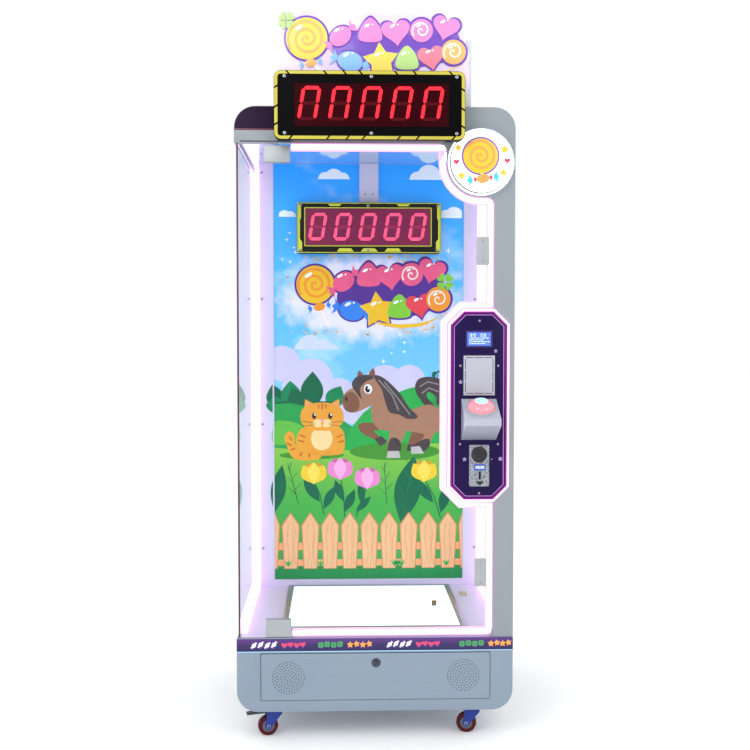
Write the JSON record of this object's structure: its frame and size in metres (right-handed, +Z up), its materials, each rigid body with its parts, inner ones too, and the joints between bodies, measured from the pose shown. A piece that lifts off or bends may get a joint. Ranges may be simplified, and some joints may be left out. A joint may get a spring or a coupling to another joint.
{
  "type": "coin-operated arcade cabinet",
  "caption": "Tall glass-fronted arcade cabinet on casters with a lit bed, pivoting glass door, coin panel, dome button and digit displays.",
  "frame": {"origin": "on the floor under the middle of the whole bounding box", "axes": "+Z up, +X to the viewer's right when facing the door, front towards -Y"},
  "size_m": [0.86, 0.932, 2.247],
  "materials": {
    "painted_steel": "satin",
    "band_print": "gloss",
    "interior_white": "satin",
    "window_glass": "polished",
    "led_lens": "opal",
    "steel_fitting": "satin",
    "panel_acrylic": "gloss",
    "lcd": "gloss",
    "box_paint": "satin",
    "button_lens": "gloss",
    "coin_metal": "speckled",
    "black_plastic": "matte",
    "medallion_acrylic": "opal",
    "display_black": "gloss",
    "sign_acrylic": "gloss",
    "bed_aluminium": "brushed",
    "bed_acrylic": "opal",
    "die_plastic": "gloss",
    "lock_chrome": "polished",
    "speaker_black": "matte",
    "plain_steel": "plain",
    "board_green": "matte",
    "caster_blue": "gloss",
    "tyre": "matte",
    "pedal_grey": "matte"
  },
  "bodies": {
    "root": {"base_shell": "painted_steel", "header_shell": "painted_steel", "base_front_panel": "painted_steel", "rear_panel": "painted_steel", "front_fascia": "painted_steel", "trim_band": "band_print", "mains_inlet": "black_plastic", "deck_panel": "interior_white", "ceiling_panel": "interior_white", "interior_back_panel": "interior_white", "cable_channel": "interior_white", "control_housing": "interior_white", "medallion": "medallion_acrylic", "side_glass_left": "window_glass", "side_glass_right": "window_glass", "door_led_tube": "led_lens", "side_led_left": "led_lens", "side_led_right": "led_lens", "panel_halo_led": "led_lens", "control_panel": "panel_acrylic", "lcd_screen": "lcd", "reader_blank": "box_paint", "button_box": "box_paint", "coin_mechanism": "coin_metal", "bed_frame": "bed_aluminium", "bed_diffuser": "bed_acrylic", "inner_display": "display_black", "topper_display": "display_black", "topper_lightbox": "box_paint", "topper_sign": "sign_acrylic", "power_supply": "plain_steel", "main_board": "board_green", "cash_box": "plain_steel", "caster_plate_front_left": "caster_blue", "caster_plate_front_right": "caster_blue", "caster_plate_rear_left": "caster_blue", "caster_plate_rear_right": "caster_blue"},
    "door": {"door_glass": "window_glass", "door_clamp_top": "steel_fitting", "door_clamp_bottom": "steel_fitting", "strike_plate_upper": "steel_fitting", "strike_plate_lower": "steel_fitting"},
    "hatch": {"service_hatch": "painted_steel", "speaker_left": "speaker_black", "speaker_right": "speaker_black"},
    "lock": {"lock_cam": "lock_chrome"},
    "button": {"push_button": "button_lens"},
    "return_knob": {"coin_return_knob": "black_plastic"},
    "die": {"game_die": "die_plastic"},
    "fork_front_left": {"caster_fork_front_left": "caster_blue"},
    "wheel_front_left": {"caster_wheel_front_left": "tyre"},
    "pedal_front_left": {"caster_pedal_front_left": "pedal_grey"},
    "fork_front_right": {"caster_fork_front_right": "caster_blue"},
    "wheel_front_right": {"caster_wheel_front_right": "tyre"},
    "pedal_front_right": {"caster_pedal_front_right": "pedal_grey"},
    "fork_rear_left": {"caster_fork_rear_left": "caster_blue"},
    "wheel_rear_left": {"caster_wheel_rear_left": "tyre"},
    "fork_rear_right": {"caster_fork_rear_right": "caster_blue"},
    "wheel_rear_right": {"caster_wheel_rear_right": "tyre"}
  },
  "joints": [
    {"name": "door_swing", "type": "hinge", "parent": "root", "child": "door", "pos_m": [-0.3, -0.3295, 1.08], "axis": [0, 0, -1], "range_deg": [0, 95]},
    {"name": "hatch_fold", "type": "hinge", "parent": "root", "child": "hatch", "pos_m": [0, -0.334, 0.1275], "axis": [1, 0, 0], "range_deg": [0, 90]},
    {"name": "lock_turn", "type": "hinge", "parent": "hatch", "child": "lock", "pos_m": [0.0025, -0.334, 0.244], "axis": [0, 1, 0], "range_deg": [-90, 0]},
    {"name": "button_press", "type": "slide", "parent": "root", "child": "button", "axis": [0, 0.4106, -0.9118], "range_m": [0, 0.004], "stiffness_N_per_m": 600, "springref_m": -0.003},
    {"name": "coin_return_press", "type": "slide", "parent": "root", "child": "return_knob", "axis": [0, 1, 0], "range_m": [0, 0.004], "stiffness_N_per_m": 400, "springref_m": -0.002},
    {"name": "die_lift", "type": "slide", "parent": "root", "child": "die", "axis": [0, 0, 1], "range_m": [0, 0.06]},
    {"name": "caster_swivel_front_left", "type": "hinge", "parent": "root", "child": "fork_front_left", "pos_m": [-0.315, -0.274, 0.083], "axis": [0, 0, 1], "continuous": true},
    {"name": "caster_spin_front_left", "type": "hinge", "parent": "fork_front_left", "child": "wheel_front_left", "pos_m": [-0.3375, -0.27878, 0.0315], "axis": [-0.2079, 0.9781, 0], "continuous": true},
    {"name": "caster_brake_front_left", "type": "hinge", "parent": "fork_front_left", "child": "pedal_front_left", "pos_m": [-0.34434, -0.28024, 0.075], "axis": [0.2079, -0.9781, 0], "range_deg": [0, 12]},
    {"name": "caster_swivel_front_right", "type": "hinge", "parent": "root", "child": "fork_front_right", "pos_m": [0.315, -0.274, 0.083], "axis": [0, 0, 1], "continuous": true},
    {"name": "caster_spin_front_right", "type": "hinge", "parent": "fork_front_right", "child": "wheel_front_right", "pos_m": [0.29222, -0.2708, 0.0315], "axis": [0.1392, 0.9903, 0], "continuous": true},
    {"name": "caster_brake_front_right", "type": "hinge", "parent": "fork_front_right", "child": "pedal_front_right", "pos_m": [0.28529, -0.26982, 0.075], "axis": [-0.1392, -0.9903, 0], "range_deg": [0, 12]},
    {"name": "caster_swivel_rear_left", "type": "hinge", "parent": "root", "child": "fork_rear_left", "pos_m": [-0.315, 0.406, 0.083], "axis": [0, 0, 1], "continuous": true},
    {"name": "caster_spin_rear_left", "type": "hinge", "parent": "fork_rear_left", "child": "wheel_rear_left", "pos_m": [-0.3375, 0.40122, 0.0315], "axis": [-0.2079, 0.9781, 0], "continuous": true},
    {"name": "caster_swivel_rear_right", "type": "hinge", "parent": "root", "child": "fork_rear_right", "pos_m": [0.315, 0.406, 0.083], "axis": [0, 0, 1], "continuous": true},
    {"name": "caster_spin_rear_right", "type": "hinge", "parent": "fork_rear_right", "child": "wheel_rear_right", "pos_m": [0.29222, 0.4092, 0.0315], "axis": [0.1392, 0.9903, 0], "continuous": true}
  ]
}
